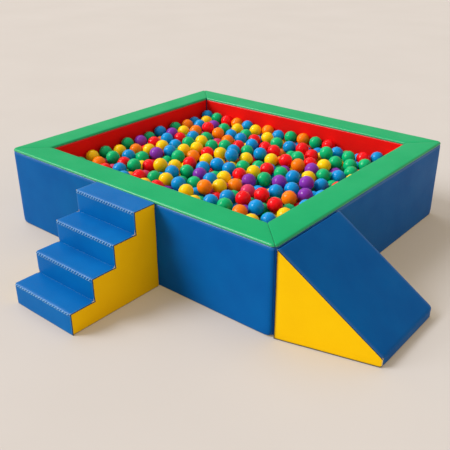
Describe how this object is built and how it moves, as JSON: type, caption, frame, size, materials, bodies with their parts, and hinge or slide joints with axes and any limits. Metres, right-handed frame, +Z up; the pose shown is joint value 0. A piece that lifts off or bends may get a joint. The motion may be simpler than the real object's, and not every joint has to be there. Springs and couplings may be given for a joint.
{
  "type": "soft-play ball pit",
  "caption": "Foam ball pit: mitred padded walls round a base mat filled with play balls, with a block of steps to climb in by and a ramp to slide out on.",
  "frame": {"origin": "centre of the pit, on the floor plane under the base mat", "axes": "+Z up, +X towards the ramp's side, -Y towards the steps' side; the ramp stands by the front right corner"},
  "size_m": [2.0006, 1.9086, 0.4],
  "materials": {
    "blue_vinyl": "PVC-coated cloth, fine grain, low sheen",
    "green_vinyl": "PVC-coated cloth, fine grain, low sheen",
    "red_vinyl": "PVC-coated cloth, fine grain, low sheen",
    "yellow_vinyl": "PVC-coated cloth, fine grain, low sheen",
    "non_slip_vinyl": "dimpled non-slip sheet",
    "foam": "open-cell polyurethane foam",
    "hook_tape": "nylon hook tape",
    "loop_tape": "nylon loop tape",
    "zip_tape": "woven tape with a nylon coil",
    "zip_metal": "die-cast slider",
    "red_ball": "blown polyethylene",
    "blue_ball": "blown polyethylene",
    "green_ball": "blown polyethylene",
    "yellow_ball": "blown polyethylene",
    "orange_ball": "blown polyethylene",
    "purple_ball": "blown polyethylene"
  },
  "bodies": {
    "base_mat": {"base_mat_underside": "non_slip_vinyl", "base_mat_cover": "blue_vinyl", "base_mat_foam": "foam"},
    "front_wall": {"front_wall_foam": "foam", "front_wall_outer_cover": "blue_vinyl", "front_wall_top_panel": "green_vinyl", "front_wall_inner_panel": "red_vinyl", "front_wall_hook_strip": "hook_tape", "front_wall_loop_strip": "loop_tape", "front_wall_zip": "zip_tape", "front_wall_steps_loop_strip": "loop_tape"},
    "right_wall": {"right_wall_foam": "foam", "right_wall_outer_cover": "blue_vinyl", "right_wall_top_panel": "green_vinyl", "right_wall_inner_panel": "red_vinyl", "right_wall_hook_strip": "hook_tape", "right_wall_loop_strip": "loop_tape", "right_wall_zip": "zip_tape", "right_wall_ramp_loop_strip": "loop_tape"},
    "back_wall": {"back_wall_foam": "foam", "back_wall_outer_cover": "blue_vinyl", "back_wall_top_panel": "green_vinyl", "back_wall_inner_panel": "red_vinyl", "back_wall_hook_strip": "hook_tape", "back_wall_loop_strip": "loop_tape", "back_wall_zip": "zip_tape"},
    "left_wall": {"left_wall_foam": "foam", "left_wall_outer_cover": "blue_vinyl", "left_wall_top_panel": "green_vinyl", "left_wall_inner_panel": "red_vinyl", "left_wall_hook_strip": "hook_tape", "left_wall_loop_strip": "loop_tape", "left_wall_zip": "zip_tape"},
    "steps": {"steps_foam": "foam", "steps_tread_cover": "blue_vinyl", "steps_left_side": "yellow_vinyl", "steps_right_side": "yellow_vinyl", "steps_base": "non_slip_vinyl", "steps_back": "blue_vinyl", "steps_hook_strip": "hook_tape", "steps_zip": "zip_tape"},
    "ramp": {"ramp_foam": "foam", "ramp_cover": "blue_vinyl", "ramp_front_side": "yellow_vinyl", "ramp_rear_side": "yellow_vinyl", "ramp_hook_strip": "hook_tape", "ramp_zip": "zip_tape"},
    "ball_bed": {"ball_bed": "blue_ball"},
    "loose_red_ball": {"loose_red_ball": "red_ball"},
    "loose_blue_ball": {"loose_blue_ball": "blue_ball"},
    "loose_green_ball": {"loose_green_ball": "green_ball"},
    "loose_yellow_ball": {"loose_yellow_ball": "yellow_ball"},
    "loose_orange_ball": {"loose_orange_ball": "orange_ball"},
    "loose_purple_ball": {"loose_purple_ball": "purple_ball"},
    "front_wall_zip_slider": {"front_wall_zip_slider": "zip_metal"},
    "right_wall_zip_slider": {"right_wall_zip_slider": "zip_metal"},
    "back_wall_zip_slider": {"back_wall_zip_slider": "zip_metal"},
    "left_wall_zip_slider": {"left_wall_zip_slider": "zip_metal"},
    "steps_zip_slider": {"steps_zip_slider": "zip_metal"},
    "ramp_zip_slider": {"ramp_zip_slider": "zip_metal"}
  },
  "joints": [
    {"name": "front_wall_pull_off", "type": "slide", "parent": "base_mat", "child": "front_wall", "axis": [0, -1, 0], "range_m": [0, 0.3]},
    {"name": "right_wall_pull_off", "type": "slide", "parent": "base_mat", "child": "right_wall", "axis": [1, 0, 0], "range_m": [0, 0.3]},
    {"name": "back_wall_pull_off", "type": "slide", "parent": "base_mat", "child": "back_wall", "axis": [0, 1, 0], "range_m": [0, 0.3]},
    {"name": "left_wall_pull_off", "type": "slide", "parent": "base_mat", "child": "left_wall", "axis": [-1, 0, 0], "range_m": [0, 0.3]},
    {"name": "steps_pull_off", "type": "slide", "parent": "front_wall", "child": "steps", "axis": [0, -1, 0], "range_m": [0, 0.3]},
    {"name": "ramp_pull_off", "type": "slide", "parent": "right_wall", "child": "ramp", "axis": [1, 0, 0], "range_m": [0, 0.3]},
    {"name": "ball_bed_lift", "type": "slide", "parent": "base_mat", "child": "ball_bed", "axis": [0, 0, 1], "range_m": [0, 0.5]},
    {"name": "loose_red_ball_lift", "type": "slide", "parent": "ball_bed", "child": "loose_red_ball", "axis": [0, 0, 1], "range_m": [0, 0.4]},
    {"name": "loose_blue_ball_lift", "type": "slide", "parent": "ball_bed", "child": "loose_blue_ball", "axis": [0, 0, 1], "range_m": [0, 0.4]},
    {"name": "loose_green_ball_lift", "type": "slide", "parent": "ball_bed", "child": "loose_green_ball", "axis": [0, 0, 1], "range_m": [0, 0.4]},
    {"name": "loose_yellow_ball_lift", "type": "slide", "parent": "ball_bed", "child": "loose_yellow_ball", "axis": [0, 0, 1], "range_m": [0, 0.4]},
    {"name": "loose_orange_ball_lift", "type": "slide", "parent": "ball_bed", "child": "loose_orange_ball", "axis": [0, 0, 1], "range_m": [0, 0.4]},
    {"name": "loose_purple_ball_lift", "type": "slide", "parent": "ball_bed", "child": "loose_purple_ball", "axis": [0, 0, 1], "range_m": [0, 0.4]},
    {"name": "front_wall_zip_slider_run", "type": "slide", "parent": "front_wall", "child": "front_wall_zip_slider", "axis": [1, 0, 0], "range_m": [0, 1.198]},
    {"name": "right_wall_zip_slider_run", "type": "slide", "parent": "right_wall", "child": "right_wall_zip_slider", "axis": [0, 1, 0], "range_m": [0, 1.038]},
    {"name": "back_wall_zip_slider_run", "type": "slide", "parent": "back_wall", "child": "back_wall_zip_slider", "axis": [-1, 0, 0], "range_m": [0, 1.198]},
    {"name": "left_wall_zip_slider_run", "type": "slide", "parent": "left_wall", "child": "left_wall_zip_slider", "axis": [0, -1, 0], "range_m": [0, 1.038]},
    {"name": "steps_zip_slider_run", "type": "slide", "parent": "steps", "child": "steps_zip_slider", "axis": [1, 0, 0], "range_m": [0, 0.217]},
    {"name": "ramp_zip_slider_run", "type": "slide", "parent": "ramp", "child": "ramp_zip_slider", "axis": [0, 1, 0], "range_m": [0, 0.279]}
  ]
}
